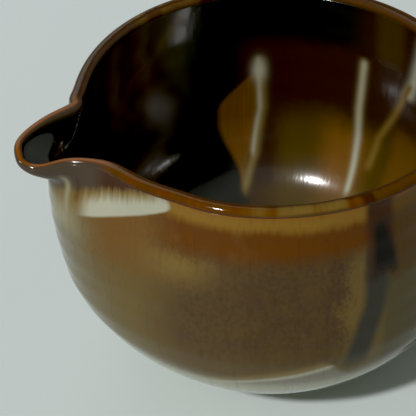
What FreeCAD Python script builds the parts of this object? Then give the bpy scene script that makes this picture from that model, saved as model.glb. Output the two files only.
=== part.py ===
import FreeCAD, Part
import math
import os
import PartDesign
import Sketcher
from FreeCAD import Vector

# Katakuchi: an open, round sake bowl with a pulled pouring spout.
# +Z is up, the origin is the centre of the standing face, the spout points
# along -X. All sizes are in millimetres and all angles in degrees.

os.makedirs("parts", exist_ok=True)
doc = FreeCAD.newDocument("katakuchi")

DRIVING = {
    "rim_radius": 50.0,       # outermost radius of the rolled lip
    "bowl_height": 79.5,      # standing face to the top of the lip
    "belly_radius": 52.3,     # widest radius of the outside
    "belly_height": 38.0,     # level of the widest radius
    "lip_width": 3.7,         # lip thickness with its glaze
    "wall_width": 5.2,        # wall thickness under the belly, with its glaze
    "floor_width": 9.0,       # floor thickness with its glaze
    "glaze": 0.4,             # thickness of every glaze coat
    "lower_bulge": 19.0,      # how long the wall stays upright under the belly
    "lower_radius": 32.0,     # where the lower curve starts to turn flat
    "flat_radius": 24.5,      # radius inside which the bottom is flat
    "well_radius": 12.0,      # radius of the level disc inside, at the centre
    "spout_reach": 16.3,      # how far the spout passes the round rim
    "spout_lip": 2.1,         # lip thickness on the spout
    "spout_far": 12.8,        # half angle of the spout on the +Y side
    "spout_near": 8.2,        # half angle of the spout on the -Y side
    "spout_spread": 16.0,     # extra half angle lower down, where it melts away
    "far_square": 2.4,        # 2 is a rounded side, higher is a squarer one
    "near_square": 1.6,       # the same on the -Y side, which melts into the rim
    "spout_droop": 2.6,       # how much lower the pouring point is than the round lip
    "droop_angle": 3.1,       # half angle over which it is lower
    "droop_turn": 2.6,        # where it is lowest, a little toward -Y
    "throat_depth": 4.1,      # depth over which the overhanging throat pulls in
    "swell_depth": 67.0,      # depth at which the swell under it has gone
    "corner_pinch": 2.27,     # how far the +Y wall is pressed in right beside the spout
    "corner_angle": 15.4,     # where it is pressed in
    "corner_width": 2.9,      # half angle of that press
    "flat_far": 1.16,         # how far the +Y rim is drawn in by the pulling of the spout
    "flat_far_angle": 36.6,   # where it is drawn in most
    "flat_far_width": 34.9,   # half angle over which it is drawn in
    "flat_near": 0.67,        # the same on the -Y side
    "flat_near_angle": 39.0,
    "flat_near_width": 8.6,
    "foot_radius": 24.0,      # outside of the turned foot ring
    "foot_height": 6.0,       # height of the foot ring
    "foot_width": 4.6,        # width of the foot ring where it meets the bowl
    "foot_stand": 2.6,        # width of the unglazed standing face
    "foot_taper": 0.8,        # how much the ring draws in to its standing face
    "foot_bare": 1.6,         # bare clay above the standing face, inside
    "foot_bevel": 0.5,        # bevel at the outer edge of the standing face
    "notch_width": 36.0,      # width of the U cut out of the wall for the spout
    "notch_depth": 34.0,      # depth of that U under the lip
}

sheet = doc.addObject("Spreadsheet::Sheet", "dimensions")
for row, (alias, value) in enumerate(DRIVING.items(), start=1):
    sheet.set("A%d" % row, alias)
    sheet.set("B%d" % row, str(value))
    sheet.setAlias("B%d" % row, alias)
doc.recompute()


def size(alias):
    return float(sheet.get(alias))


# ---------------------------------------------------------------- guide surface
# One guide surface runs through the middle of the lip, down the wall and under
# the floor. Every skin of clay and glaze is an offset of it, so neighbouring
# pieces share their faces exactly.

RIM, HEIGHT, BELLY, BELLY_Z = map(size, ("rim_radius", "bowl_height", "belly_radius", "belly_height"))
HALF_LIP = size("lip_width") / 2
GLAZE = size("glaze")
FLOOR_Z = size("foot_height") + HALF_LIP - GLAZE
TOP_Z = HEIGHT - HALF_LIP
WALL, FLOOR_TURN, FLOOR_END = 1.0, 2.0, 3.0   # path values: belly, flat bottom, well


def bezier(ends, t):
    a, b, c, d = ends
    u = 1 - t
    return tuple(u ** 3 * p + 3 * u * u * t * q + 3 * u * t * t * r + t ** 3 * w
                 for p, q, r, w in zip(a, b, c, d))


def profile(path):
    """Radius and height of the guide curve, away from the spout."""
    rim, belly = RIM - HALF_LIP, BELLY - HALF_LIP
    rise = TOP_Z - BELLY_Z
    if path <= WALL:
        upper = ((rim, TOP_Z), (rim + 0.33 * (belly - rim), TOP_Z - 0.22 * rise),
                 (belly, BELLY_Z + 0.22 * rise), (belly, BELLY_Z))
        return bezier(upper, path)
    if path <= FLOOR_TURN:
        lower = ((belly, BELLY_Z), (belly, BELLY_Z - size("lower_bulge")),
                 (size("lower_radius"), FLOOR_Z), (size("flat_radius"), FLOOR_Z))
        return bezier(lower, path - WALL)
    inward = path - FLOOR_TURN
    return size("flat_radius") + inward * (size("well_radius") - size("flat_radius")), FLOOR_Z


def bell(value, width, power=2.0):
    return math.exp(-abs(value / width) ** power)


def spout_push(turn, depth):
    """How far the spout moves the guide surface outward at an angle and a depth."""
    side = size("spout_near") if turn > 0 else size("spout_far")
    melt = 1 - bell(depth, 16.0, 1.5)
    square = size("near_square") if turn > 0 else size("far_square")
    power = 2 + (square - 2) * bell(depth, 10.0)
    swell = max(0.0, 1 - (depth / size("swell_depth")) ** 2) ** 2
    fade = 0.5 * bell(depth, size("throat_depth")) + 0.5 * swell
    reach = size("spout_reach") * bell(turn, side + size("spout_spread") * melt, power)
    return reach * fade - drawn_in(turn, depth)


def drawn_in(turn, depth):
    """How far the pulling of the spout has drawn the rim in beside it."""
    if turn > 0:
        near = bell(turn - size("flat_near_angle"), size("flat_near_width"))
        return size("flat_near") * near * bell(depth, 10.0)
    pinch = bell(turn + size("corner_angle"), size("corner_width")) * bell(depth, 10.0)
    far = bell(turn + size("flat_far_angle"), size("flat_far_width")) * bell(depth, 25.0)
    far *= 1 - bell(turn, 6.0)
    return size("corner_pinch") * pinch + size("flat_far") * far


def guide(turn, path):
    """Point of the guide surface; turn is the angle from the spout toward -Y."""
    radius, height = profile(path)
    depth = TOP_Z - height
    radius += spout_push(turn, depth)
    droop = bell(turn - size("droop_turn"), size("droop_angle")) * bell(depth, 9.0) ** 2
    height -= size("spout_droop") * droop
    a = math.radians(turn)
    return Vector(-radius * math.cos(a), -radius * math.sin(a), height)


def normal(turn, path):
    """Unit normal of the guide surface, away from the inside of the bowl."""
    low, high = max(path - 1e-3, 0.0), min(path + 1e-3, FLOOR_END)
    along = guide(turn, high) - guide(turn, low)
    around = guide(turn + 0.05, path) - guide(turn - 0.05, path)
    return along.cross(around).normalize()


def outer_half(turn, path):
    depth = TOP_Z - profile(path)[1]
    thinner = HALF_LIP - size("spout_lip") / 2
    return HALF_LIP - thinner * bell(turn, 14.0, 4.0) * bell(depth, 14.0)


def ease(value):
    """Soft step from 0 to 1."""
    value = min(max(value, 0.0), 1.0)
    return value * value * (3 - 2 * value)


def inner_half(turn, path):
    """The wall thickens down to the belly's underside, and again into the flat floor."""
    lower_wall = (size("wall_width") - size("lip_width")) * ease(path / 1.2)
    floor = (size("floor_width") - size("wall_width")) * ease((path - 1.4) / 0.6)
    return outer_half(turn, path) + lower_wall + floor


def outside(skin):
    """Outer side of the wall; skin is 0 for the glaze face, GLAZE for the clay."""
    def place(turn, share):
        path = FLOOR_TURN * (0.35 * share + 0.65 * share ** 1.5)
        path += share ** 6 * (OUTSIDE_END - FLOOR_TURN)
        return guide(turn, path) + normal(turn, path) * (outer_half(turn, path) - skin)
    return place


def lip(skin):
    """Rounded top of the lip, from its outer shoulder to its inner one."""
    def place(turn, share):
        out = normal(turn, 0.0)
        half = outer_half(turn, 0.0) - skin
        up = guide(turn, 0.0) - guide(turn, 0.02)
        up = (up - out * up.dot(out)).normalize()
        angle = math.pi * share
        across = math.copysign(abs(math.cos(angle)) ** 0.8, math.cos(angle))
        return guide(turn, 0.0) + (out * across + up * math.sin(angle) ** 0.8) * half
    return place


def inside(skin):
    """Inner side of the wall, from the lip to the level disc at the centre."""
    def place(turn, share):
        path = FLOOR_END * (0.25 * share + 0.75 * share ** 1.4)
        return guide(turn, path) - normal(turn, path) * (inner_half(turn, path) - skin)
    return place


# The outside ends on the flat bottom, a hair outside the foot ring.
FOOT_GAP = 0.03
GLAZE_STOP = size("foot_radius") + FOOT_GAP
OUTSIDE_END = FLOOR_TURN + ((size("flat_radius") - GLAZE_STOP)
                            / (size("flat_radius") - size("well_radius")))

AROUND = 120


def turn_of(step):
    """Angle of one row of poles; the rows are closest together on the spout."""
    u = 2 * math.pi * step / AROUND
    return math.degrees(u - 0.6 * math.sin(u)) if step <= AROUND / 2 else -turn_of(AROUND - step)


def skin_surface(place, steps):
    """Closed cubic surface whose poles follow place(turn, share)."""
    spans = steps - 3
    knots = [i / spans for i in range(spans + 1)]
    full = [0.0] * 3 + knots + [1.0] * 3
    shares = [sum(full[j + 1:j + 4]) / 3 for j in range(steps)]
    rows = [[place(turn_of(i), share) for share in shares] for i in range(AROUND)]
    # Poles pushed out a little, so that the smoothed rings keep their true radius.
    poles = [[(8 * rows[i][j] - rows[i - 1][j] - rows[(i + 1) % AROUND][j]) / 6
              for j in range(steps)] for i in range(AROUND)]
    surface = Part.BSplineSurface()
    surface.buildFromPolesMultsKnots(
        poles, [1] * (AROUND + 1), [4] + [1] * (spans - 1) + [4],
        list(range(AROUND + 1)), knots, True, False, 3, 3)
    return surface


def band(first, first_end, second, second_end):
    """Narrow face that closes the gap between the edges of two skins."""
    edge_a, edge_b = first.getPoles(), second.getPoles()
    poles = [[row_a[first_end], row_b[second_end]] for row_a, row_b in zip(edge_a, edge_b)]
    surface = Part.BSplineSurface()
    surface.buildFromPolesMultsKnots(
        poles, [1] * (AROUND + 1), [2, 2], list(range(AROUND + 1)), [0.0, 1.0],
        True, False, 3, 1)
    return surface.toShape()


def disc(surface):
    """Level face inside the last ring of a skin."""
    ring = surface.vIso(1.0).toShape()
    return Part.Face(Part.Wire([ring]))


def closed_solid(faces):
    shell = Part.makeShell(faces)
    shell.sewShape()
    solid = Part.makeSolid(Part.Shell(shell.Faces))
    if solid.Volume < 0:
        solid.reverse()
    return solid


glaze_out, clay_out = skin_surface(outside(0.0), 26), skin_surface(outside(GLAZE), 26)
glaze_lip, clay_lip = skin_surface(lip(0.0), 9), skin_surface(lip(GLAZE), 9)
glaze_in, clay_in = skin_surface(inside(0.0), 30), skin_surface(inside(GLAZE), 30)
FIRST, LAST = 0, -1


def coded(label, solid):
    feature = doc.addObject("Part::Feature", label)
    feature.Label = label
    feature.Shape = solid
    feature.Placement = FreeCAD.Placement()
    return feature


clay = coded("clay", closed_solid(
    [clay_out.toShape(), clay_lip.toShape(), clay_in.toShape(), disc(clay_in), disc(clay_out)]))
outside_glaze = coded("outside_glaze", closed_solid(
    [glaze_out.toShape(), clay_out.toShape(),
     band(glaze_out, FIRST, clay_out, FIRST), band(glaze_out, LAST, clay_out, LAST)]))
rim_glaze = coded("rim_glaze", closed_solid(
    [glaze_lip.toShape(), clay_lip.toShape(),
     band(glaze_lip, FIRST, clay_lip, FIRST), band(glaze_lip, LAST, clay_lip, LAST)]))
inside_glaze = coded("inside_glaze", closed_solid(
    [glaze_in.toShape(), clay_in.toShape(), band(glaze_in, FIRST, clay_in, FIRST),
     disc(glaze_in), disc(clay_in)]))


# ------------------------------------------------------------- turned and cut parts
def plane_of(body, role):
    return next(f for f in body.Origin.OriginFeatures if f.Role == role)


def bind(sketch, index, name, expression):
    sketch.renameConstraint(index, name)
    sketch.setExpression("Constraints." + name, expression)


def add_outline(sketch, corners):
    """Closed chain of straight lines through the corners, joined end to end."""
    count = len(corners)
    for i in range(count):
        start, end = corners[i], corners[(i + 1) % count]
        sketch.addGeometry(Part.LineSegment(Vector(*start, 0), Vector(*end, 0)), False)
    for i in range(count):
        sketch.addConstraint(Sketcher.Constraint("Coincident", i, 2, (i + 1) % count, 1))


def place_corner(sketch, corner, names, expressions):
    """Drive one corner's distance from the axis and from the base plane."""
    point = sketch.Geometry[corner].StartPoint
    for kind, value, name, expression in zip(("DistanceX", "DistanceY"), (point.x, point.y),
                                             names, expressions):
        if expression is None:
            onto = -2 if kind == "DistanceX" else -1
            sketch.addConstraint(Sketcher.Constraint("PointOnObject", corner, 1, onto))
        else:
            index = sketch.addConstraint(Sketcher.Constraint(kind, -1, 1, corner, 1, value))
            bind(sketch, index, name, expression)


def turned_body(label, corners):
    """Body of revolution about Z; corners are (x, z, x expression, z expression)."""
    body = doc.addObject("PartDesign::Body", label)
    body.Label = label
    sketch = body.newObject("Sketcher::SketchObject", label + "_section")
    sketch.AttachmentSupport = [(plane_of(body, "XZ_Plane"), "")]
    sketch.MapMode = "FlatFace"
    add_outline(sketch, [(x, z) for x, z, _, _ in corners])
    for i, (_, _, across, upward) in enumerate(corners):
        place_corner(sketch, i, ("across%d" % i, "upward%d" % i), (across, upward))
    doc.recompute()
    turned = body.newObject("PartDesign::Revolution", label + "_turning")
    turned.Profile = sketch
    turned.ReferenceAxis = (sketch, ["V_Axis"])
    turned.Angle = 360.0
    body.Placement = FreeCAD.Placement()
    doc.recompute()
    return body


foot_r, foot_h, foot_w = size("foot_radius"), size("foot_height"), size("foot_width")
stand, taper, bare = size("foot_stand"), size("foot_taper"), size("foot_bare")
bevel = size("foot_bevel")
ring_in = foot_r - foot_w
DIM = "dimensions."
OUT_R, IN_R = DIM + "foot_radius", DIM + "foot_radius - " + DIM + "foot_width"
stand_out = OUT_R + " - " + DIM + "foot_taper - " + DIM + "foot_bevel"
stand_in = stand_out + " - " + DIM + "foot_stand"

foot_ring = turned_body("foot_ring", [
    (foot_r, foot_h, OUT_R, DIM + "foot_height"),
    (foot_r - taper, bevel, OUT_R + " - " + DIM + "foot_taper", DIM + "foot_bevel"),
    (foot_r - taper - bevel, 0.0, stand_out, None),
    (foot_r - taper - bevel - stand, 0.0, stand_in, None),
    (ring_in, bare, IN_R, DIM + "foot_bare"),
    (ring_in, foot_h, IN_R, DIM + "foot_height"),
])

foot_glaze = turned_body("foot_glaze", [
    (0.0, foot_h, None, DIM + "foot_height"),
    (ring_in, foot_h, IN_R, DIM + "foot_height"),
    (ring_in, bare, IN_R, DIM + "foot_bare"),
    (ring_in - GLAZE, bare, IN_R + " - " + DIM + "glaze", DIM + "foot_bare"),
    (ring_in - GLAZE, foot_h - GLAZE, IN_R + " - " + DIM + "glaze",
     DIM + "foot_height - " + DIM + "glaze"),
    (0.0, foot_h - GLAZE, None, DIM + "foot_height - " + DIM + "glaze"),
])

# The U-shaped cut through the wall that the spout is luted into.
notch = doc.addObject("PartDesign::Body", "notch")
notch_sketch = notch.newObject("Sketcher::SketchObject", "notch_outline")
notch_sketch.AttachmentSupport = [(plane_of(notch, "YZ_Plane"), "")]
notch_sketch.MapMode = "FlatFace"
half_w = size("notch_width") / 2
bottom_z = HEIGHT - size("notch_depth")
open_z = HEIGHT + 10.0
round_z = bottom_z + half_w
corners = [(-half_w, round_z), (-half_w, open_z), (half_w, open_z), (half_w, round_z)]
for start, end in zip(corners, corners[1:]):
    notch_sketch.addGeometry(Part.LineSegment(Vector(*start, 0), Vector(*end, 0)))
notch_sketch.addGeometry(Part.ArcOfCircle(
    Part.Circle(Vector(0, round_z, 0), Vector(0, 0, 1), half_w), math.pi, 2 * math.pi))
for first, first_end, second, second_end in ((0, 2, 1, 1), (1, 2, 2, 1)):
    notch_sketch.addConstraint(Sketcher.Constraint("Coincident", first, first_end, second, second_end))
notch_sketch.addConstraint(Sketcher.Constraint("Tangent", 0, 1, 3, 1))
notch_sketch.addConstraint(Sketcher.Constraint("Tangent", 2, 2, 3, 2))
notch_sketch.addConstraint(Sketcher.Constraint("Vertical", 0))
notch_sketch.addConstraint(Sketcher.Constraint("Horizontal", 1))
notch_sketch.addConstraint(Sketcher.Constraint("PointOnObject", 3, 3, -2))
bind(notch_sketch, notch_sketch.addConstraint(Sketcher.Constraint("Radius", 3, half_w)),
     "round_end", "dimensions.notch_width / 2")
bind(notch_sketch, notch_sketch.addConstraint(
    Sketcher.Constraint("DistanceY", -1, 1, 3, 3, round_z)),
     "round_level", "dimensions.bowl_height - dimensions.notch_depth + dimensions.notch_width / 2")
bind(notch_sketch, notch_sketch.addConstraint(Sketcher.Constraint("DistanceY", -1, 1, 0, 2, open_z)),
     "open_level", "dimensions.bowl_height + 10")
doc.recompute()
notch_pad = notch.newObject("PartDesign::Pad", "notch_cut")
notch_pad.Profile = notch_sketch
notch_pad.Reversed = True
notch_pad.setExpression("Length", "dimensions.rim_radius + dimensions.spout_reach + 10")
doc.recompute()

bowl_wall = doc.addObject("Part::Cut", "bowl_wall")
bowl_wall.Base = clay
bowl_wall.Tool = notch
spout = doc.addObject("Part::Common", "spout")
spout.Base = clay
spout.Tool = notch
for feature in (bowl_wall, spout):
    feature.Label = feature.Name
    feature.Placement = FreeCAD.Placement()
doc.recompute()

NODES = (bowl_wall, spout, foot_ring, inside_glaze, outside_glaze, rim_glaze, foot_glaze)
for thing in doc.Objects:
    if "Invalid" in thing.State or "Error" in thing.State:
        raise RuntimeError("%s did not rebuild: %s" % (thing.Label, thing.State))
for node in NODES:
    shape = node.Shape
    if shape.isNull() or not shape.isValid() or len(shape.Solids) != 1:
        raise RuntimeError("%s is not one valid solid" % node.Label)
    shape.exportStep("parts/%s.step" % node.Label)
    box = shape.BoundBox
    print("%-14s volume %8.1f  x %6.1f %6.1f  y %6.1f %6.1f  z %6.1f %6.1f" % (
        node.Label, shape.Volume, box.XMin, box.XMax, box.YMin, box.YMax, box.ZMin, box.ZMax))
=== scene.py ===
import math

import bpy
import numpy as np
from mathutils import Matrix, Vector


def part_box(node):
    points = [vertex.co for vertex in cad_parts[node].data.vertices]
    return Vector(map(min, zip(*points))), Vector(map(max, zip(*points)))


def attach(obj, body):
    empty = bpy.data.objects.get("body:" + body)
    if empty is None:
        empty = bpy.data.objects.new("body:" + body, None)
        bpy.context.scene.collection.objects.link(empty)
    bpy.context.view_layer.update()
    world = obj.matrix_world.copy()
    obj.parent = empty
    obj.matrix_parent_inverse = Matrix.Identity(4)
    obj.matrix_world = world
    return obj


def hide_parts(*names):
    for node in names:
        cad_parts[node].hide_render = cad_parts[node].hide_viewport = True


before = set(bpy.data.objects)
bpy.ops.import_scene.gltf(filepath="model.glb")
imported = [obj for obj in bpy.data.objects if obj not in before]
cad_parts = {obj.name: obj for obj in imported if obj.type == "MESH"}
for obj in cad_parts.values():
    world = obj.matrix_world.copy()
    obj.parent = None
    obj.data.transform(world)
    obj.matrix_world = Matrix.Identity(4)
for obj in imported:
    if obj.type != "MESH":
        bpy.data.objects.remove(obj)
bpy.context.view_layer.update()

# Katakuchi: a thrown and glazed sake bowl with a pulled spout along -X.
# Lengths in this script are millimetres and angles degrees, until a mesh, a light or
# the camera is made: those are in metres, like the frame.

MM = 0.001

# ------------------------------------------------------------ sizes read from the frame


def top_of(node):
    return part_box(node)[1] / MM


HEIGHT = top_of("rim_glaze").z          # standing face to the top of the lip
BELLY = top_of("outside_glaze").y       # widest radius of the outside
FOOT_RADIUS, _, FOOT_HEIGHT = top_of("foot_ring")

# ------------------------------------------------------------ sizes repeated from the part

RIM = 50.0                # outermost radius of the rolled lip
BELLY_Z = 38.0            # level of the widest radius
HALF_LIP = 1.85           # half of the lip's thickness
WALL_WIDTH = 5.2          # thickness of the wall under the belly
FLOOR_WIDTH = 9.0         # thickness of the floor
GLAZE = 0.4               # thickness of every glaze coat
LOWER_BULGE, LOWER_RADIUS = 19.0, 32.0   # the curve under the belly
FLAT_RADIUS, WELL_RADIUS = 24.5, 12.0    # flat bottom outside, level disc inside
SPOUT_REACH = 16.3        # how far the spout passes the round rim
SPOUT_HALF_LIP = 1.05     # half of the lip's thickness on the spout
SPOUT_FAR, SPOUT_NEAR, SPOUT_SPREAD = 12.8, 8.2, 16.0   # half angles of the spout
FAR_SQUARE, NEAR_SQUARE = 2.4, 1.6       # how square the spout's two sides are
SPOUT_DROOP, DROOP_ANGLE, DROOP_TURN = 2.6, 3.1, 2.6    # the lower pouring point
THROAT_DEPTH, SWELL_DEPTH = 4.1, 67.0    # how the spout melts into the wall
CORNER_PINCH, CORNER_ANGLE, CORNER_WIDTH = 2.27, 15.4, 2.9   # crease beside the spout
FLAT_FAR, FLAT_FAR_ANGLE, FLAT_FAR_WIDTH = 1.16, 36.6, 34.9  # where the rim is drawn in
FLAT_NEAR, FLAT_NEAR_ANGLE, FLAT_NEAR_WIDTH = 0.67, 39.0, 8.6

TOP_Z = HEIGHT - HALF_LIP
FLOOR_Z = FOOT_HEIGHT + HALF_LIP - GLAZE
BELLY_PATH, FLAT_PATH, WELL_PATH = 1.0, 2.0, 3.0   # places along the guide curve
FULL_WALL_PATH, FLOOR_PATH = 1.2, 1.4   # the wall is full here; the floor thickens from here
LIP_LEAN, BELLY_PULL = 0.33, 0.22       # how the curve leaves the lip and meets the belly
EDGE_DEPTH = 10.0         # how far below the lip its small shapes reach
FAR_FLAT_DEPTH, FAR_FLAT_START = 25.0, 6.0   # how deep the far one reaches, and from where
MELT_DEPTH, MELT_POWER = 16.0, 1.5      # where the spout's sides spread into the wall
DROOP_DEPTH = 9.0         # how far below the lip the droop reaches
THIN_ANGLE, THIN_DEPTH, THIN_POWER = 14.0, 14.0, 4.0    # where the spout's lip is thin
LIP_ROUNDNESS = 0.8       # 1 is a half circle; less is fuller
LIP_STEP = 0.02           # path below the lip that shows which way is up there
FOOT_GAP = 0.03           # between the outside glaze and the foot
GLAZE_STOP = FOOT_RADIUS + FOOT_GAP
OUTSIDE_END = FLAT_PATH + (FLAT_RADIUS - GLAZE_STOP) / (FLAT_RADIUS - WELL_RADIUS)


# ------------------------------------------------------------ the bowl's surfaces
# turn is the angle from the spout toward -Y; path runs from the lip (0) past the
# belly (1) and the edge of the flat bottom (2) to the well inside (3).


def bell(value, width, power=2.0):
    return np.exp(-np.abs(value / width) ** power)


def bezier(ends, t):
    a, b, c, d = np.array(ends)
    t = np.asarray(t)[..., None]
    u = 1 - t
    return u ** 3 * a + 3 * u * u * t * b + 3 * u * t * t * c + t ** 3 * d


def profile(path):
    """Radius and height of the guide curve, away from the spout."""
    rim, belly, rise = RIM - HALF_LIP, BELLY - HALF_LIP, TOP_Z - BELLY_Z
    upper = bezier(((rim, TOP_Z), (rim + LIP_LEAN * (belly - rim), TOP_Z - BELLY_PULL * rise),
                    (belly, BELLY_Z + BELLY_PULL * rise), (belly, BELLY_Z)),
                   np.clip(path, 0, BELLY_PATH))
    lower = bezier(((belly, BELLY_Z), (belly, BELLY_Z - LOWER_BULGE),
                    (LOWER_RADIUS, FLOOR_Z), (FLAT_RADIUS, FLOOR_Z)),
                   np.clip(path - BELLY_PATH, 0, 1))
    curve = np.where((path <= BELLY_PATH)[..., None], upper, lower)
    inward = np.maximum(path - FLAT_PATH, 0) * (FLAT_RADIUS - WELL_RADIUS)
    return curve[..., 0] - inward, curve[..., 1]


def drawn_in(turn, depth):
    """How far the pulling of the spout has drawn the rim in beside it."""
    near = FLAT_NEAR * bell(turn - FLAT_NEAR_ANGLE, FLAT_NEAR_WIDTH) * bell(depth, EDGE_DEPTH)
    pinch = CORNER_PINCH * bell(turn + CORNER_ANGLE, CORNER_WIDTH) * bell(depth, EDGE_DEPTH)
    far = FLAT_FAR * bell(turn + FLAT_FAR_ANGLE, FLAT_FAR_WIDTH) * bell(depth, FAR_FLAT_DEPTH)
    return np.where(turn > 0, near, pinch + far * (1 - bell(turn, FAR_FLAT_START)))


def spout_push(turn, depth):
    """How far the spout stands out from the round wall."""
    side = np.where(turn > 0, SPOUT_NEAR, SPOUT_FAR)
    melt = 1 - bell(depth, MELT_DEPTH, MELT_POWER)
    power = 2 + (np.where(turn > 0, NEAR_SQUARE, FAR_SQUARE) - 2) * bell(depth, EDGE_DEPTH)
    swell = np.maximum(0, 1 - (depth / SWELL_DEPTH) ** 2) ** 2
    fade = 0.5 * bell(depth, THROAT_DEPTH) + 0.5 * swell
    reach = SPOUT_REACH * bell(turn, side + SPOUT_SPREAD * melt, power)
    return reach * fade - drawn_in(turn, depth)


def guide(turn, path):
    """Points on the surface half-way through the lip and the wall's outer part."""
    radius, height = profile(path)
    depth = TOP_Z - height
    radius = radius + spout_push(turn, depth)
    droop = bell(turn - DROOP_TURN, DROOP_ANGLE) * bell(depth, DROOP_DEPTH) ** 2
    height = height - SPOUT_DROOP * droop
    a = np.radians(turn)
    return np.stack([-radius * np.cos(a), -radius * np.sin(a), height], -1)


def unit(vectors):
    return vectors / np.linalg.norm(vectors, axis=-1, keepdims=True)


def normal(turn, path, step=1e-3, swing=0.05):
    """Outward normals of the guide surface, from points a small step to either side."""
    below, above = np.minimum(path + step, WELL_PATH), np.maximum(path - step, 0)
    along = guide(turn, below) - guide(turn, above)
    around = guide(turn + swing, path) - guide(turn - swing, path)
    return unit(np.cross(along, around))


def outer_half(turn, path):
    depth = TOP_Z - profile(path)[1]
    thin = bell(turn, THIN_ANGLE, THIN_POWER) * bell(depth, THIN_DEPTH)
    return HALF_LIP - (HALF_LIP - SPOUT_HALF_LIP) * thin


def ease(value):
    value = np.clip(value, 0, 1)
    return value * value * (3 - 2 * value)


def inner_half(turn, path):
    lower_wall = (WALL_WIDTH - 2 * HALF_LIP) * ease(path / FULL_WALL_PATH)
    thickening = (path - FLOOR_PATH) / (FLAT_PATH - FLOOR_PATH)
    floor = (FLOOR_WIDTH - WALL_WIDTH) * ease(thickening)
    return outer_half(turn, path) + lower_wall + floor


def outside(turn, path, skin=0.0):
    return guide(turn, path) + normal(turn, path) * (outer_half(turn, path) - skin)[..., None]


def inside(turn, path, skin=0.0):
    return guide(turn, path) - normal(turn, path) * (inner_half(turn, path) - skin)[..., None]


def lip(turn, share, skin=0.0):
    """Rounded top of the lip, from its outer shoulder (0) to its inner one (1)."""
    start = np.zeros_like(turn)
    out = normal(turn, start)
    up = guide(turn, start) - guide(turn, start + LIP_STEP)
    up = unit(up - out * (up * out).sum(-1, keepdims=True))
    a = np.pi * share
    across = np.sign(np.cos(a)) * np.abs(np.cos(a)) ** LIP_ROUNDNESS
    rise = np.sin(a).clip(0) ** LIP_ROUNDNESS
    reach = out * across[..., None] + up * rise[..., None]
    return guide(turn, start) + reach * (outer_half(turn, start) - skin)[..., None]


# ------------------------------------------------------------ hand-made unevenness

COLUMNS = 480             # mesh columns around the bowl
CROWDING = 0.6            # how much closer together they are on the spout
GIRTH = 300.0             # round the wall, roughly
RELIEF_EDGE = 0.05        # share of the path at the lip that stays smooth
OUTSIDE_RINGS_PITCH, INSIDE_RINGS_PITCH = 6.3, 8.5   # between two throwing rings
OUTSIDE_RELIEF, INSIDE_RELIEF = (0.10, 0.045, 0.05), (0.05, 0.025, 0.015)


def turns():
    """Angles of the mesh columns; they are closest together on the spout."""
    u = 2 * np.pi * np.arange(COLUMNS) / COLUMNS
    t = np.degrees(u - CROWDING * np.sin(u))
    return np.where(t > 180, t - 360, t)


def waves(turn, height, seed, pitch, count=14):
    """Smooth unevenness, mostly between -1.5 and 1.5, that closes on itself around the
    bowl."""
    draw = np.random.default_rng(seed)
    total = np.zeros(np.broadcast(turn, height).shape)
    for _ in range(count):
        around = draw.integers(1, max(2, int(GIRTH / pitch)))
        upward = draw.normal(0, 2 * np.pi / pitch / 2)
        total += np.sin(np.radians(turn) * around + height * upward + draw.uniform(0, 2 * np.pi))
    return total / math.sqrt(count)


# ------------------------------------------------------------ meshes


def make_mesh(name, rings, poles=(False, False), loop=False, fields=None):
    """Link a new object whose mesh runs through rings of COLUMNS points. A pole closes an
    end with a centre point, and loop joins the last ring to the first. fields are
    {name: values per ring point}."""
    rings = np.asarray(rings)
    count, around = rings.shape[:2]
    points = rings.reshape(-1, 3) * MM
    index = np.arange(count * around).reshape(count, around)
    if loop:
        index = np.vstack([index, index[:1]])
    a, b = index[:-1], index[1:]
    quads = np.stack([a, np.roll(a, -1, 1), np.roll(b, -1, 1), b], -1).reshape(-1, 4).tolist()
    fans = []
    extra = []
    for ring, pole, order in ((index[0], poles[0], -1), (index[-1], poles[1], 1)):
        if pole:
            centre = len(points) + len(extra)
            extra.append(points[ring].mean(0))
            fans += [[int(p), int(q), centre][::order] for p, q in zip(ring, np.roll(ring, -1))]
    if extra:
        points = np.vstack([points, extra])
    mesh = bpy.data.meshes.new(name)
    mesh.from_pydata(points.tolist(), [], quads + fans)
    mesh.polygons.foreach_set("use_smooth", [True] * len(mesh.polygons))
    for field, values in (fields or {}).items():
        layer = mesh.attributes.new(field, "FLOAT", "POINT")
        flat = np.asarray(values, float).ravel()
        flat = np.concatenate([flat, np.full(len(extra), flat[-1])])
        layer.data.foreach_set("value", flat.astype(np.float32))
    mesh.update()
    piece = bpy.data.objects.new(name, mesh)
    bpy.context.scene.collection.objects.link(piece)
    return piece


def grid(values):
    return np.meshgrid(values, turns(), indexing="ij")


def outside_relief(turn, path):
    """How far the glaze face lies under its true surface: throwing rings and runs."""
    height = profile(path)[1]
    edge = 1 - bell(path, RELIEF_EDGE)
    climb = 0.8 * np.sin(np.radians(turn) + 0.5)
    rings = np.sin(2 * np.pi * (height + climb) / OUTSIDE_RINGS_PITCH)
    depth, ring_depth, run_depth = OUTSIDE_RELIEF
    runs = waves(turn, height, seed=3, pitch=22)
    return edge * (depth + ring_depth * rings + run_depth * runs)


def inside_relief(turn, path):
    """The same for the inside; the floor has no rings or runs."""
    height = profile(path)[1]
    edge = 1 - bell(path, RELIEF_EDGE)
    climb = 1.5 * np.sin(np.radians(turn) - 1.0)
    rings = np.sin(2 * np.pi * (height + climb) / INSIDE_RINGS_PITCH)
    wall = 1 - ease(path - BELLY_PATH)
    depth, ring_depth, run_depth = INSIDE_RELIEF
    runs = waves(turn, height, seed=5, pitch=18)
    return edge * (depth + wall * (ring_depth * rings + run_depth * runs))


# Rows of each mesh: on its glazed face, and on the back that lies against the clay.
OUTSIDE_ROWS, INSIDE_ROWS, WELL_ROWS, BACK_ROWS = 230, 210, 24, 40
RIM_ROWS, RIM_BACK_ROWS = 36, 12
OUTSIDE_CROWD, INSIDE_CROWD = 1.15, 1.1   # rows are closer together towards the lip
POLE_SHARE = 0.04         # innermost ring, as a share of the well


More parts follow.
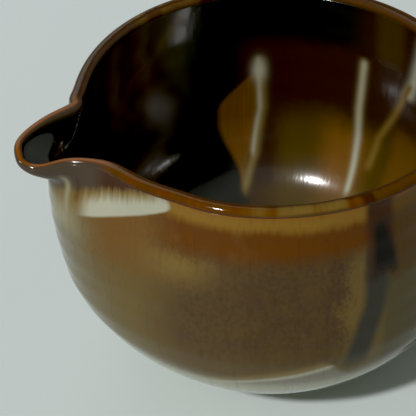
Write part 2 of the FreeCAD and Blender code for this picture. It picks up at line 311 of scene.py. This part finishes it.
def make_outside():
    path, turn = grid(OUTSIDE_END * np.linspace(0, 1, OUTSIDE_ROWS) ** OUTSIDE_CROWD)
    face = outside(turn, path, outside_relief(turn, path))
    back_path, back_turn = grid(OUTSIDE_END * np.linspace(1, 0, BACK_ROWS) ** OUTSIDE_CROWD)
    back = outside(back_turn, back_path, GLAZE)
    return make_mesh("outside_glaze_coat", np.vstack([face, back]), loop=True)


def make_inside():
    path, turn = grid(WELL_PATH * np.linspace(0, 1, INSIDE_ROWS) ** INSIDE_CROWD)
    face = inside(turn, path, inside_relief(turn, path))
    middle = face[-1:].mean(1, keepdims=True)
    well = [middle + (face[-1:] - middle) * s for s in np.linspace(1, POLE_SHARE, WELL_ROWS)[1:]]
    back_path, back_turn = grid(WELL_PATH * np.linspace(1, 0, BACK_ROWS) ** INSIDE_CROWD)
    back = inside(back_turn, back_path, GLAZE)
    back_middle = back[:1].mean(1, keepdims=True)
    under = [back_middle + (back[:1] - back_middle) * s for s in (POLE_SHARE, 0.5)]
    return make_mesh("inside_glaze_coat", np.vstack([*under, back, face, *well]),
                     poles=(True, True))


def make_rim():
    share, turn = grid(np.linspace(0, 1, RIM_ROWS))
    face = lip(turn, share)
    back_share, back_turn = grid(np.linspace(1, 0, RIM_BACK_ROWS))
    back = lip(back_turn, back_share, GLAZE)
    across = np.vstack([share, back_share])
    return make_mesh("rim_glaze_coat", np.vstack([face, back]), loop=True,
                     fields={"across_lip": across})


# ------------------------------------------------------------ shader arithmetic


class Field:
    """A number or colour that varies over the surface: one socket of a material."""

    def __init__(self, tree, socket):
        self.tree, self.socket = tree, socket

    def __add__(self, other):
        return maths("ADD", self, other)

    def __sub__(self, other):
        return maths("SUBTRACT", self, other)

    def __rsub__(self, other):
        return maths("SUBTRACT", other, self)

    def __mul__(self, other):
        return maths("MULTIPLY", self, other)

    def __truediv__(self, other):
        return maths("DIVIDE", self, other)

    __radd__, __rmul__ = __add__, __mul__


def feed(tree, socket, value):
    if isinstance(value, Field):
        tree.links.new(value.socket, socket)
    elif isinstance(value, tuple) and len(value) == 3 and socket.type == "RGBA":
        socket.default_value = (*value, 1.0)
    else:
        socket.default_value = value


def maths(kind, *values, clamp=False):
    tree = next(v.tree for v in values if isinstance(v, Field))
    node = tree.nodes.new("ShaderNodeMath")
    node.operation, node.use_clamp = kind, clamp
    for socket, value in zip(node.inputs, values):
        feed(tree, socket, value)
    return Field(tree, node.outputs[0])


def smooth(value, low, high):
    """0 below low, 1 above high and a soft step between them; low may be the higher."""
    node = value.tree.nodes.new("ShaderNodeMapRange")
    node.interpolation_type = "SMOOTHSTEP"
    for name, number in (("Value", value), ("From Min", low), ("From Max", high)):
        feed(value.tree, node.inputs[name], number)
    return Field(value.tree, node.outputs["Result"])


def within(value, low, high, soft):
    return smooth(value, low - soft, low + soft) * smooth(value, high + soft, high - soft)


def hump(value, centre, width):
    off = (value - centre) / width
    return maths("EXPONENT", off * off * -1)


def either(first, second):
    return maths("MAXIMUM", first, second)


def mix(first, second, share):
    tree = share.tree
    node = tree.nodes.new("ShaderNodeMix")
    node.data_type = "RGBA"
    feed(tree, node.inputs["Factor"], maths("ADD", share, 0.0, clamp=True))
    feed(tree, node.inputs["A"], first)
    feed(tree, node.inputs["B"], second)
    return Field(tree, node.outputs["Result"])


class Canvas:
    """A new material with the bowl's own coordinates: turn, height and radius."""

    SLANT = 0.6   # share of the radius in a pattern's height, so that it crosses the floor

    def __init__(self, name):
        self.material = bpy.data.materials.new(name)
        self.material.use_nodes = True
        self.tree = self.material.node_tree
        self.shader = self.tree.nodes["Principled BSDF"]
        split = self.tree.nodes.new("ShaderNodeSeparateXYZ")
        place = self.tree.nodes.new("ShaderNodeTexCoord").outputs["Object"]
        self.tree.links.new(place, split.inputs[0])
        x, y, z = (Field(self.tree, out) / MM for out in split.outputs)
        self.height = z
        self.turn = maths("DEGREES", maths("ARCTAN2", y * -1, x * -1))
        self.radius = maths("SQRT", x * x + y * y)
        away = maths("MAXIMUM", self.radius, FLAT_RADIUS)   # so that the floor has no spokes
        self.round_x, self.round_y = x / away, y / away

    def noise(self, across, along, detail=2.0, seed=0.0, rough=0.5):
        """Noise whose patches are about across mm wide and along mm tall on the wall."""
        join = self.tree.nodes.new("ShaderNodeCombineXYZ")
        feed(self.tree, join.inputs[0], self.round_x * (RIM / across) + seed)
        feed(self.tree, join.inputs[1], self.round_y * (RIM / across))
        feed(self.tree, join.inputs[2], (self.height - self.radius * self.SLANT) * (1 / along))
        node = self.tree.nodes.new("ShaderNodeTexNoise")
        node.inputs["Scale"].default_value = 1.0
        node.inputs["Detail"].default_value = detail
        node.inputs["Roughness"].default_value = rough
        self.tree.links.new(join.outputs[0], node.inputs["Vector"])
        return Field(self.tree, node.outputs["Fac"])

    def attribute(self, name):
        node = self.tree.nodes.new("ShaderNodeAttribute")
        node.attribute_name = name
        return Field(self.tree, node.outputs["Fac"])

    def finish(self, colour, roughness, bump=None, bump_mm=0.1, **sockets):
        feed(self.tree, self.shader.inputs["Base Color"], colour)
        feed(self.tree, self.shader.inputs["Roughness"], roughness)
        for name, value in sockets.items():
            self.shader.inputs[name.replace("_", " ")].default_value = value
        if bump is not None:
            node = self.tree.nodes.new("ShaderNodeBump")
            node.inputs["Distance"].default_value = bump_mm * MM
            feed(self.tree, node.inputs["Height"], bump)
            self.tree.links.new(node.outputs[0], self.shader.inputs["Normal"])
            self.tree.links.new(node.outputs[0], self.shader.inputs["Coat Normal"])
        return self.material


# ------------------------------------------------------------ glaze colours

CREAM = (0.39, 0.385, 0.29)
PALE = (0.26, 0.24, 0.145)
ASH = (0.205, 0.185, 0.14)
GOLD = (0.215, 0.114, 0.014)
FRINGE = (0.21, 0.155, 0.055)
OCHRE = (0.172, 0.108, 0.026)
AMBER = (0.112, 0.036, 0.0)
ORANGE = (0.145, 0.071, 0.015)
RUST = (0.24, 0.072, 0.006)
UMBER = (0.082, 0.038, 0.002)
PLUM = (0.066, 0.036, 0.016)
TAN = (0.094, 0.058, 0.018)
OLIVE = (0.128, 0.090, 0.027)
SAGE_SHEEN = (0.165, 0.143, 0.082)
BRACKEN = (0.088, 0.068, 0.024)
LILAC = (0.066, 0.046, 0.029)
SLATE_AND_REFLECTION = (0.040, 0.037, 0.027)
IRON = (0.045, 0.014, 0.002)
SOOT = (0.004, 0.0025, 0.001)
NIGHT = (0.016, 0.016, 0.014)
DARK_GLAZE_AND_REFLECTION = (0.034, 0.044, 0.032)
EMBER = (0.036, 0.019, 0.012)
MOSS = (0.073, 0.047, 0.010)
HONEY = (0.170, 0.080, 0.016)
CLAY = (0.30, 0.21, 0.14)
CLAY_DARK = (0.16, 0.10, 0.065)
GLOSS = {"Coat_Weight": 1.0, "Coat_Roughness": 0.09, "Coat_IOR": 1.34, "Specular_IOR_Level": 0.0}
POOLED = {"Coat_Weight": 1.0, "Coat_Roughness": 0.16, "Coat_IOR": 1.76, "Specular_IOR_Level": 0.06}


# ------------------------------------------------------------ outside glaze
# Angles are from the spout and heights from the table. A pair says where a soft edge
# starts and where it ends. The far side repeats the near one, set off a little.

FAR_OFFSET = 3.0
BROWN_FROM, BROWN_TO = (24, 46), (92, 82)     # brown middle of the olive body
OLIVE_FOOT = (42, 29)                         # olive again towards the foot
BACK_FROM = (112, 124)                        # cloudy brown and olive at the back
DARK_FROM, DARK_TO = (95, 99), (126, 112)     # darker glaze past the drip
PAINTED_SHEEN_FROM = (26, -2)                         # painted grey-green sheen under the spout, a painted reflection
AMBER_FROM, AMBER_ABOVE = (28, 44), (62.0, 68.6)
GOLD_FROM, GOLD_ABOVE = (35.5, 39), (72.2, 75.6)
RUST_FROM, RUST_ABOVE = (36, 39), (76.4, 78.0)
FLANK_ABOVE, FLANK_TO = (-1.2, 2.8), (41, 33) # dark glaze over the cream overlap
OVERLAP_FROM, OVERLAP_TIP = (9.5, 14.5), 35.0
DRIP_LEFT, DRIP_RIGHT = (92.0, 94.2), (98.6, 95.4)
DRIP_WIDENS, DRIP_GROWTH = (72, 58), 3.6      # the drip is this much wider below
STRIPE_BENDS, STRIPE_BEND = (54, 31), 5.0     # the stripe leans this much to the spout
ARC_SLOPE, ARC_BASE = 0.2584, 10.9            # pale arc that climbs around the base
ARC_FROM, ARC_TO = (34, 44), (83.5, 80.5)
BASE_BELOW = (27.5, 22.5)                     # cream glaze under everything


class OutsidePlace:
    """Place on the outside, and the unevenness of the glaze there."""

    def __init__(self, c):
        self.drift = c.noise(14, 20, seed=3.0) - 0.5
        self.fine = c.noise(1.1, 14, detail=3.0, seed=9.0) - 0.5
        self.grain = c.noise(1.0, 1.5, detail=4.0, seed=5.0, rough=0.62) - 0.5
        self.cloud = c.noise(6, 8, detail=3.0, seed=11.0) - 0.5
        self.height = c.height
        self.angle = maths("ABSOLUTE", c.turn) + smooth(c.turn, 1, -1) * FAR_OFFSET
        self.loose_angle = self.angle + self.drift * 5 + self.grain * 9 + self.cloud * 10
        self.loose_height = (c.height + self.drift * 2 + self.fine * 2.5 + self.grain * 5
                             + self.cloud * 3)


def outside_body(c, p):
    """Olive glaze with a mottled brown middle, and the back that is never seen whole."""
    mottled = mix(PLUM, TAN, smooth(p.grain + p.cloud * 0.5, -0.26, 0.30))
    brown = smooth(p.loose_angle, *BROWN_FROM) * smooth(p.loose_angle, *BROWN_TO)
    clouds = smooth(p.angle, *BACK_FROM) * smooth(c.noise(34, 40, seed=8.0), 0.42, 0.56)
    dark = smooth(p.angle, *DARK_FROM) * smooth(p.angle, *DARK_TO)
    body = mix(OLIVE, mottled, brown)
    body = mix(body, mottled, clouds)
    body = mix(body, OLIVE, smooth(p.loose_height, *OLIVE_FOOT) * 0.5)
    return mix(body, BRACKEN, dark)


def bands_under_lip(body, p):
    """A painted grey-green sheen under the spout; then orange haze, golden spot, amber band and
    golden band, from low to high.
    """
    a, h, t, z = p.angle, p.height, p.loose_angle, p.loose_height
    # painted sheen: a grey-green reflection painted along the edge under the spout
    body = mix(body, SAGE_SHEEN, smooth(t, *PAINTED_SHEEN_FROM) * smooth(h, 68, 56))
    body = mix(body, ORANGE, within(t, 13, 36, 7) * smooth(z, 46, 64))
    body = mix(body, OCHRE, hump(t, 41, 9) * hump(z, 61.0, 5.0))
    body = mix(body, OCHRE, within(t, 85, 92, 3.0) * within(h, 40, 64, 5) * 0.55)
    amber = smooth(z, *AMBER_ABOVE) * smooth(t, *AMBER_FROM)
    body = mix(body, AMBER, amber)
    body = mix(body, ORANGE, amber * smooth(p.cloud, 0.0, 0.25) * smooth(a, 74, 50) * 0.5)
    body = mix(body, UMBER, smooth(a, *DARK_FROM) * smooth(a, *DARK_TO) * smooth(z, 50, 60))
    ragged = h + p.drift * 2 + p.fine * 2.6 + p.cloud * 2
    gold = smooth(ragged, *GOLD_ABOVE) * smooth(a, *GOLD_FROM)
    body = mix(body, GOLD, gold * (within(a, 91.5, 110, 1.0) * -0.75 + 1))
    rust = smooth(h + p.fine * 1.5, *RUST_ABOVE) * smooth(a, *RUST_FROM)
    return mix(body, RUST, rust * 0.5)


def cream_overlap(body, p):
    """Cream glaze beside the spout, with dark glaze running into it from above. Returns
    the colour and the share of cream."""
    a, h = p.angle, p.height
    past = a - 16 + p.cloud
    low = past * 0.35 + past * past * 0.003 + 65.8
    high = past * 0.36 + 71.6
    over = h - high + p.fine * 4.5
    flank = smooth(h - high + p.fine * 3, *FLANK_ABOVE) * smooth(a, *FLANK_TO)
    body = mix(body, mix(LILAC, IRON, smooth(a, 12, 19)), flank)
    body = mix(body, OCHRE, within(h - high, -5, 0.8, 1.4) * within(a, 4, 13, 2) * 0.75)
    body = mix(body, PALE, hump(a, 4, 7) * hump(h, 61.5, 4.5))
    end = hump(h, 76.2, 3.4) * 3.2 + OVERLAP_TIP
    spread = smooth(a, *OVERLAP_FROM) * smooth(a - end, 0.9, -0.9) * smooth(h - low, -0.5, 0.5)
    body = mix(body, FRINGE, spread * smooth(over, 2.4, -0.4))
    body = mix(body, CREAM, spread * smooth(over, 0.8, -2.8))
    body = mix(body, PALE, hump(a, 6.9, 0.75) * within(h, 63.5, 73.5, 1.2) * 0.85)
    body = mix(body, IRON, hump(a, 9.6, 0.7) * within(h, 67.5, 73.5, 1.0) * 0.45)
    return body, spread


def drip_and_stripe(body, p):
    """Black drip from the lip and the slate stripe that leans on below it; the stripe is partly a
    dark glaze run and partly a painted reflection of the shaded table.
    """
    a, h = p.angle, p.height
    lean = a + p.drift * 2.5 + p.cloud * 1.6 + p.fine * 0.8
    stripe = a + smooth(h, *STRIPE_BENDS) * STRIPE_BEND + p.cloud * 1.5
    # slate stripe: partly a dark glaze run, partly a painted reflection of the shaded table
    body = mix(body, SLATE_AND_REFLECTION, within(stripe, 91.0, 97.8, 1.7) * within(h, 31, 66, 3.0))
    around_drip = within(lean, 91.2, 99.2, 1.5) * smooth(h + p.cloud * 8, 54.5, 62)
    body = mix(body, IRON, around_drip * 0.93)
    right_side = smooth(lean - smooth(h, *DRIP_WIDENS) * DRIP_GROWTH, *DRIP_RIGHT)
    tail = smooth(h + lean * 0.3 + p.grain * 4 + p.cloud * 6, 83.5, 89.5)
    drip = smooth(lean, *DRIP_LEFT) * right_side * tail
    return mix(body, SOOT, drip * (smooth(h, 70.0, 74.0) * -0.8 + 0.93))


def base_glaze(body, p):
    """Cream glaze at the base, under an arc with a bright edge."""
    a, h = p.angle, p.height
    arc = h - (a * ARC_SLOPE + hump(a, 60, 14) * 1.1 + ARC_BASE)
    reach = smooth(a + arc * 0.8, *ARC_TO) * smooth(a, *ARC_FROM)
    body = mix(body, FRINGE, hump(arc, 1.0, 1.5) * reach * 0.75)
    body = mix(body, ASH, smooth(arc, 0.4, -0.3) * reach)
    body = mix(body, CREAM, smooth(h + p.drift * 1.5, *BASE_BELOW))
    return mix(body, CREAM, hump(arc, -0.3, 0.8) * reach * 0.8)


def outside_material():
    c = Canvas("outside_glaze_look")
    p = OutsidePlace(c)
    body = bands_under_lip(outside_body(c, p), p)
    body, cream = cream_overlap(body, p)
    body = base_glaze(drip_and_stripe(body, p), p)
    specks = smooth(p.grain, 0.06, 0.34) * 0.22 + smooth(p.fine, 0.02, 0.3) * 0.16
    body = mix(body, SOOT, specks * (cream * -0.9 + 1))
    bump = c.noise(0.8, 0.8, detail=2.0, seed=2.0) * 0.5 + c.noise(2.5, 5, seed=7.0)
    return c.finish(body, 0.36 + p.grain * 0.15, bump, 0.04, **GLOSS)


# ------------------------------------------------------------ inside glaze
# Runs are (angle, height) points from high to low. Angles on the far wall are negative.

BLACK_TO = (108, 99)                          # black glaze on the spout's side
# where the black glaze is painted lighter in the lamp's shadow: partly its own dark olive, partly
# a painted reflection
SHADED_REFLECTION_TO = (98, 72)
THROAT_TO = (34, 14)                          # blacker again in the spout
FLOOR_WITHIN, FLOOR_BELOW = (27, 20), (18, 16)
LEFT_RUN = ((-110.5, 57), (-111, 40), (-108, 26), (-103, 18))
LEFT_RUN_CORE = ((-109.8, 57), (-110.3, 40), (-107.3, 26))
LEFT_RUN_HEAD = (-110, 53)
MIDDLE_RUN = ((-147, 61), (-145.6, 44), (-146, 30), (-147, 19.5))
RIGHT_RUN = ((-172.5, 76), (-168.5, 62), (-165.5, 55))
RIGHT_RUN_TAIL = ((-166.5, 60), (-160, 47), (-154, 37), (-152, 27))
# painted reflection: an olive crescent and its hook, standing in for the lit far wall's cream run
# mirrored in the black glaze
REFLECTED_CRESCENT = ((-81, 74), (-70, 64), (-68, 54))
REFLECTED_CRESCENT_HOOK = ((-72, 66), (-60, 62), (-56, 55), (-61, 49))
NEAR_RUNS = ((128, 58, 2.2), (152, 64, 1.5), (171, 52, 2.6))   # angle, top and width
NEAR_RUN_LEAN, NEAR_RUN_END = 3, 19


def run_down(c, points, width):
    """A run of glaze down the wall through (turn, height) points, from high to low."""
    centre = points[0][0]
    for (upper_turn, upper), (lower_turn, lower) in zip(points, points[1:]):
        share = maths("MULTIPLY", (c.height - upper) / (lower - upper), 1.0, clamp=True)
        centre = share * (lower_turn - upper_turn) + centre
    ends = within(c.height, points[-1][1], points[0][1], 1.6)
    return hump(c.turn - centre, 0.0, width) * ends


def inside_body(c, a, drift, grain):
    """Red-brown glaze at the back, honey lower down, and black on the spout's side, painted
    lighter and greener where the lamp's shadow falls inside: partly the glaze's own dark olive,
    partly a painted reflection.
    """
    h = c.height
    t = a + drift * 4 + grain * 3
    z = h + drift * 5 + grain * 3
    body = mix(EMBER, MOSS, smooth(z, 45, 34) * smooth(t, 112, 122))
    body = mix(body, HONEY, within(t, 133, 150, 6) * smooth(z, 43, 31))
    body = mix(body, HONEY, smooth(t, 157, 163) * smooth(z, 46, 38) * 0.55)
    body = mix(body, NIGHT, smooth(z, 60, 67) * smooth(t, 152, 140))
    body = mix(body, NIGHT, smooth(t, *BLACK_TO))
    # partly dark olive glaze, partly a painted reflection lightening the lamp's shadow inside
    body = mix(body, DARK_GLAZE_AND_REFLECTION, smooth(a, *SHADED_REFLECTION_TO))
    body = mix(body, NIGHT, smooth(a, *THROAT_TO) * 0.7)
    return mix(body, MOSS, smooth(h, 21, 17) * smooth(t, 95, 118) * 0.6)


def inside_wedge(body, c, a, drift, fine):
    """Honey-coloured wedge between the black glaze and the left run."""
    h = c.height
    run_side = 111 - smooth(h, 38, 18) * 8
    black_side = smooth(h, 55, 40) * -13.5 + smooth(h, 36, 19) * 6.5 + 109
    wedge = smooth(a - run_side, 1.2, -1.0) * smooth(a - black_side, -1.2, 1.6)
    wedge = wedge * within(h, 17.5, 56, 1.2)
    return mix(body, mix(HONEY, ORANGE, drift + 0.5), wedge * (0.8 + fine * 0.6))


def inside_runs(body, c, a):
    h = c.height
    head_turn, head_height = LEFT_RUN_HEAD
    body = mix(body, FRINGE, run_down(c, LEFT_RUN, 1.9) * 0.85)
    body = mix(body, CREAM, run_down(c, LEFT_RUN_CORE, 0.9) * 0.6)
    body = mix(body, CREAM, hump(c.turn, head_turn, 2.3) * hump(h, head_height, 3.4))
    line = run_down(c, MIDDLE_RUN, 1.7)
    body = mix(body, FRINGE, line)
    body = mix(body, CREAM, line * line * (smooth(h, 44, 30) * 0.3 + 0.7))
    body = mix(body, CREAM, run_down(c, RIGHT_RUN, 2.6))
    body = mix(body, OCHRE, run_down(c, RIGHT_RUN_TAIL, 1.6))
    body = mix(body, MOSS, within(a, 152, 163, 3) * smooth(h, 60, 66) * 0.7)
    # painted reflection of the far wall's cream run, laid on the black glaze
    painted_reflection = either(run_down(c, REFLECTED_CRESCENT, 2.4), run_down(c, REFLECTED_CRESCENT_HOOK, 2.2))
    body = mix(body, BRACKEN, painted_reflection * 0.75)
    for turn, top, width in NEAR_RUNS:
        points = ((turn, top), (turn + NEAR_RUN_LEAN, NEAR_RUN_END))
        body = mix(body, FRINGE, run_down(c, points, width) * 0.8)
    return body


def inside_material():
    c = Canvas("inside_glaze_look")
    drift = c.noise(14, 20, seed=13.0) - 0.5
    fine = c.noise(1.2, 16, detail=3.0, seed=19.0) - 0.5
    grain = c.noise(2.2, 3.0, detail=3.0, seed=15.0) - 0.5
    a = maths("ABSOLUTE", c.turn)
    body = inside_body(c, a, drift, grain)
    body = inside_runs(inside_wedge(body, c, a, drift, fine), c, a)
    pool = mix(NIGHT, UMBER, smooth(c.noise(12, 12, seed=23.0), 0.36, 0.64))
    body = mix(body, pool, smooth(c.radius, *FLOOR_WITHIN) * smooth(c.height, *FLOOR_BELOW))
    bump = c.noise(0.8, 0.8, detail=2.0, seed=12.0) * 0.3 + c.noise(3, 6, seed=17.0)
    return c.finish(body, 0.32 + drift * 0.1, bump, 0.05, **POOLED)


# ------------------------------------------------------------ rim, foot and clay

RIM_CRACK = (90.5, 94)                        # where the drip starts on the lip
OFF_SPOUT, ON_SPOUT = (12, 20), (22, 12)
CREST, SPOUT_CREST = 0.55, 0.44               # shares of the way across the lip


def rim_material():
    """Thin glaze over the rolled lip: amber, umber and ochre, with a dark line along its
    crest and a rust one on the spout."""
    c = Canvas("rim_glaze_look")
    across = c.attribute("across_lip")
    fine = c.noise(1.6, 14, detail=3.0, seed=9.0) - 0.5
    drift = c.noise(9, 9, seed=4.0) - 0.5
    streak = c.noise(4.5, 60, detail=4.0, seed=14.0) - 0.5
    t = c.turn + drift * 6
    a = maths("ABSOLUTE", t)
    s = across + drift * 0.10 + streak * 0.16 + fine * 0.05
    off_spout = smooth(a, *OFF_SPOUT)
    on_spout = smooth(a, *ON_SPOUT)

    brown = mix(UMBER, AMBER, smooth(streak, -0.25, 0.1))
    body = mix(brown, RUST, smooth(fine, 0.05, 0.3) * 0.4)
    ochre_streaks = smooth(streak + fine * 0.3, 0.22, -0.22)
    body = mix(body, OCHRE, within(a, 58, 91, 12) * ochre_streaks)
    body = mix(body, UMBER, within(a, 91, 110, 2) * 0.7)
    body = mix(body, PLUM, smooth(t, -8, -20) * (streak * 0.6 + 0.72))
    body = mix(body, LILAC, within(t, -64, -18, 6) * 0.6)
    body = mix(body, OCHRE, within(t, -90, -66, 6) * smooth(streak, 0.2, -0.2) * 0.6)
    body = mix(body, IRON, within(a, *RIM_CRACK, 0.8) * 0.9)
    body = mix(body, IRON, hump(s, CREST, 0.07) * off_spout * 0.9)
    body = mix(body, IRON, smooth(s, 0.16, 0.0) * off_spout * 0.7)
    body = mix(body, PLUM, smooth(s, 0.60, 0.72) * smooth(c.turn, -2, 2) * 0.7)
    body = mix(body, LILAC, on_spout)
    body = mix(body, RUST, on_spout * hump(across + drift * 0.1, SPOUT_CREST, 0.12))
    bump = c.noise(0.8, 0.8, detail=2.0, seed=2.0) * 0.4 + c.noise(3, 3, seed=7.0)
    return c.finish(body, 0.27 + drift * 0.1, bump, 0.04, **GLOSS)


def foot_glaze_material():
    c = Canvas("foot_glaze_look")
    grain = c.noise(1.6, 1.6, detail=3.0, seed=21.0)
    pool = c.noise(8, 8, seed=22.0)
    body = mix(UMBER, PLUM, smooth(pool, 0.4, 0.6))
    body = mix(body, IRON, smooth(grain, 0.55, 0.75))
    return c.finish(body, 0.35 + grain * 0.15, grain, 0.06, **GLOSS)


def clay_material():
    """Bare stoneware: grog specks and patches burnt darker."""
    c = Canvas("bare_clay_look")
    grog = c.noise(0.7, 0.7, detail=4.0, seed=1.0)
    patches = c.noise(9, 9, seed=6.0)
    body = mix(CLAY, CLAY_DARK, smooth(patches, 0.4, 0.65))
    body = mix(body, IRON, smooth(grog, 0.66, 0.72) * 0.8)
    bump = grog + c.noise(0.25, 0.25, detail=2.0, seed=8.0) * 0.4
    return c.finish(body, 0.8 + grog * 0.1, bump, 0.12)


def dress(piece, material, slot, *nodes):
    piece.data.materials.clear()
    piece.data.materials.append(material)
    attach(piece, "root")
    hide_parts(*nodes)


dress(make_outside(), outside_material(), "outside_glaze", "outside_glaze")
dress(make_inside(), inside_material(), "inside_glaze", "inside_glaze")
dress(make_rim(), rim_material(), "rim_glaze", "rim_glaze")
clay = clay_material()
for node, look in (("bowl_wall", clay), ("spout", clay), ("foot_ring", clay),
                   ("foot_glaze", foot_glaze_material())):
    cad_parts[node].data.materials.clear()
    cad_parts[node].data.materials.append(look)

# ------------------------------------------------------------ studio

EYE_RISE, EYE_TURN = 39.974, -24.246    # the camera looks down, and from beside the spout
EYE_ROLL = -1.751
EYE_DISTANCE = 400.0
EYE_AIM = (-16.779, 9.234)              # aim beside and above the bowl's middle
BOWL_MIDDLE = 29.0
LENS, SENSOR = 129.70, 36
CLIP_NEAR, CLIP_FAR = 0.01, 10          # metres, like all lengths below
LAMP_AIM = 0.03                         # height above the table that the lamps point at
TABLE_HALF = 3.0
TABLE_COLOUR, TABLE_ROUGHNESS = (0.628, 0.690, 0.690, 1), 0.6
ROOM_COLOUR = (0.195, 0.197, 0.180, 1)
BLACK_LEVEL = 0.010                     # light that is shown as black


def add_object(name, data):
    holder = bpy.data.objects.new(name, data)
    bpy.context.scene.collection.objects.link(holder)
    return holder


def make_camera():
    rise = math.radians(EYE_RISE)
    upward = Vector((0, math.sin(rise), math.cos(rise)))
    ahead = Vector((0, math.cos(rise), -math.sin(rise)))
    middle = Vector((0, 0, BOWL_MIDDLE))
    eye = middle - EYE_DISTANCE * ahead
    aim = middle + EYE_AIM[0] * Vector((1, 0, 0)) + EYE_AIM[1] * upward
    spin = Matrix.Rotation(math.radians(EYE_TURN), 3, "Z")
    data = bpy.data.cameras.new("camera")
    data.lens, data.sensor_width = LENS, SENSOR
    data.clip_start, data.clip_end = CLIP_NEAR, CLIP_FAR
    look = (spin @ (aim - eye)).to_track_quat("-Z", "Y").to_matrix()
    roll = Matrix.Rotation(math.radians(EYE_ROLL), 3, "Z")
    holder = add_object("camera", data)
    holder.matrix_world = Matrix.Translation(spin @ eye * MM) @ (look @ roll).to_4x4()
    bpy.context.scene.camera = holder


def make_lamp(name, azimuth, elevation, distance, size, watts, colour):
    """Square area light; azimuth is from the camera's side, + to its right."""
    a, e = math.radians(azimuth + EYE_TURN), math.radians(elevation)
    toward = Vector((math.sin(a) * math.cos(e), -math.cos(a) * math.cos(e), math.sin(e)))
    data = bpy.data.lights.new(name, "AREA")
    data.size, data.energy, data.color = size, watts, colour
    holder = add_object(name, data)
    holder.location = toward * distance + Vector((0, 0, LAMP_AIM))
    holder.rotation_mode = "QUATERNION"
    holder.rotation_quaternion = toward.to_track_quat("Z", "Y")


def make_table():
    corners = [(x * TABLE_HALF, y * TABLE_HALF, 0)
               for x, y in ((-1, -1), (1, -1), (1, 1), (-1, 1))]
    mesh = bpy.data.meshes.new("table")
    mesh.from_pydata(corners, [], [(0, 1, 2, 3)])
    table = add_object("table", mesh)
    material = bpy.data.materials.new("pale_table")
    material.use_nodes = True
    shader = material.node_tree.nodes["Principled BSDF"]
    shader.inputs["Base Color"].default_value = TABLE_COLOUR
    shader.inputs["Roughness"].default_value = TABLE_ROUGHNESS
    mesh.materials.append(material)


def make_room():
    """Even light from all round, and the way light is shown."""
    world = bpy.data.worlds.new("studio")
    bpy.context.scene.world = world
    world.use_nodes = True
    world.node_tree.nodes["Background"].inputs["Color"].default_value = ROOM_COLOUR
    view = bpy.context.scene.view_settings
    view.view_transform = "Standard"
    view.use_curve_mapping = True
    view.curve_mapping.black_level = (BLACK_LEVEL, BLACK_LEVEL, BLACK_LEVEL)
    view.curve_mapping.update()


make_camera()
make_table()
make_lamp("key", azimuth=-36, elevation=44.5, distance=8.0, size=0.533, watts=512,
          colour=(1.0, 0.99, 0.972))
make_lamp("sky", azimuth=-150, elevation=45, distance=0.6, size=0.4, watts=0.42,
          colour=(0.86, 0.97, 1.0))
make_room()
